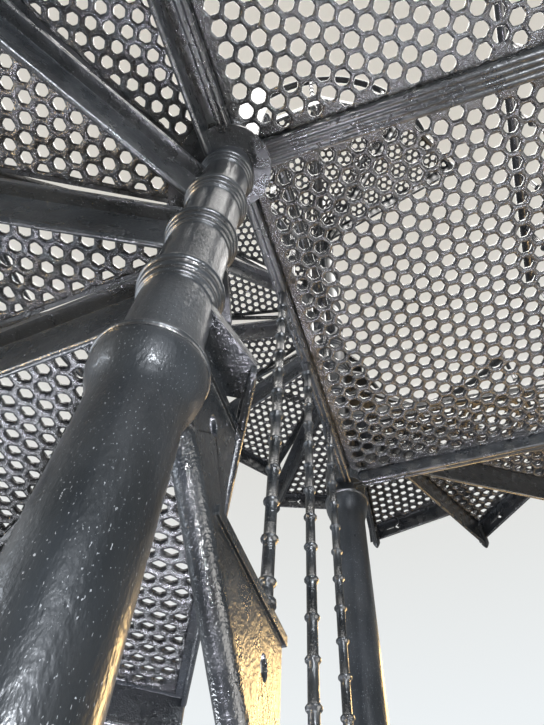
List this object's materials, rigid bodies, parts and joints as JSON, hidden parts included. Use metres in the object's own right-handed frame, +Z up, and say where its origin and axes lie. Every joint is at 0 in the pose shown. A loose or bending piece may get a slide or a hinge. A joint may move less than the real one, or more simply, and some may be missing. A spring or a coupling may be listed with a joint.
{
  "type": "spiral staircase",
  "caption": "Cast-iron spiral staircase: a half-turn flight of perforated treads on a newel, a square landing on columns, and an upper flight with a balustrade.",
  "frame": {"origin": "centre of the newel column's foot, on the floor", "axes": "+Z up, +X across the landing, +Y from the newel to the post of the upper flight"},
  "size_m": [1.9056, 2.977, 6.2875],
  "materials": {
    "black_casting": "thick glossy black paint over rough castings",
    "black_grating": "thick glossy black paint, lumpy in the hexagonal holes",
    "black_rail": "glossy black paint, worn smooth"
  },
  "bodies": {
    "root": {"inner_guard_balusters": "black_rail", "inner_guard_rail": "black_rail", "landing_column_far": "black_casting", "landing_column_inner": "black_casting", "landing_column_near": "black_casting", "landing_column_post": "black_casting", "landing_frame_far": "black_casting", "landing_frame_near": "black_casting", "landing_grating_far": "black_grating", "landing_grating_near": "black_grating", "lower_balusters": "black_rail", "lower_gratings": "black_grating", "lower_rail": "black_rail", "lower_tread_1": "black_casting", "lower_tread_2": "black_casting", "lower_tread_3": "black_casting", "lower_tread_4": "black_casting", "lower_tread_5": "black_casting", "newel_column": "black_casting", "newel_head": "black_casting", "outer_guard_balusters": "black_rail", "outer_guard_rail": "black_rail", "raking_string": "black_casting", "string_rods": "black_casting", "upper_balusters": "black_rail", "upper_gratings": "black_grating", "upper_newel_base": "black_casting", "upper_newel_head": "black_casting", "upper_rail": "black_rail", "upper_tread_1": "black_casting", "upper_tread_10": "black_casting", "upper_tread_11": "black_casting", "upper_tread_2": "black_casting", "upper_tread_3": "black_casting", "upper_tread_4": "black_casting", "upper_tread_5": "black_casting", "upper_tread_6": "black_casting", "upper_tread_7": "black_casting", "upper_tread_8": "black_casting", "upper_tread_9": "black_casting"}
  },
  "joints": []
}
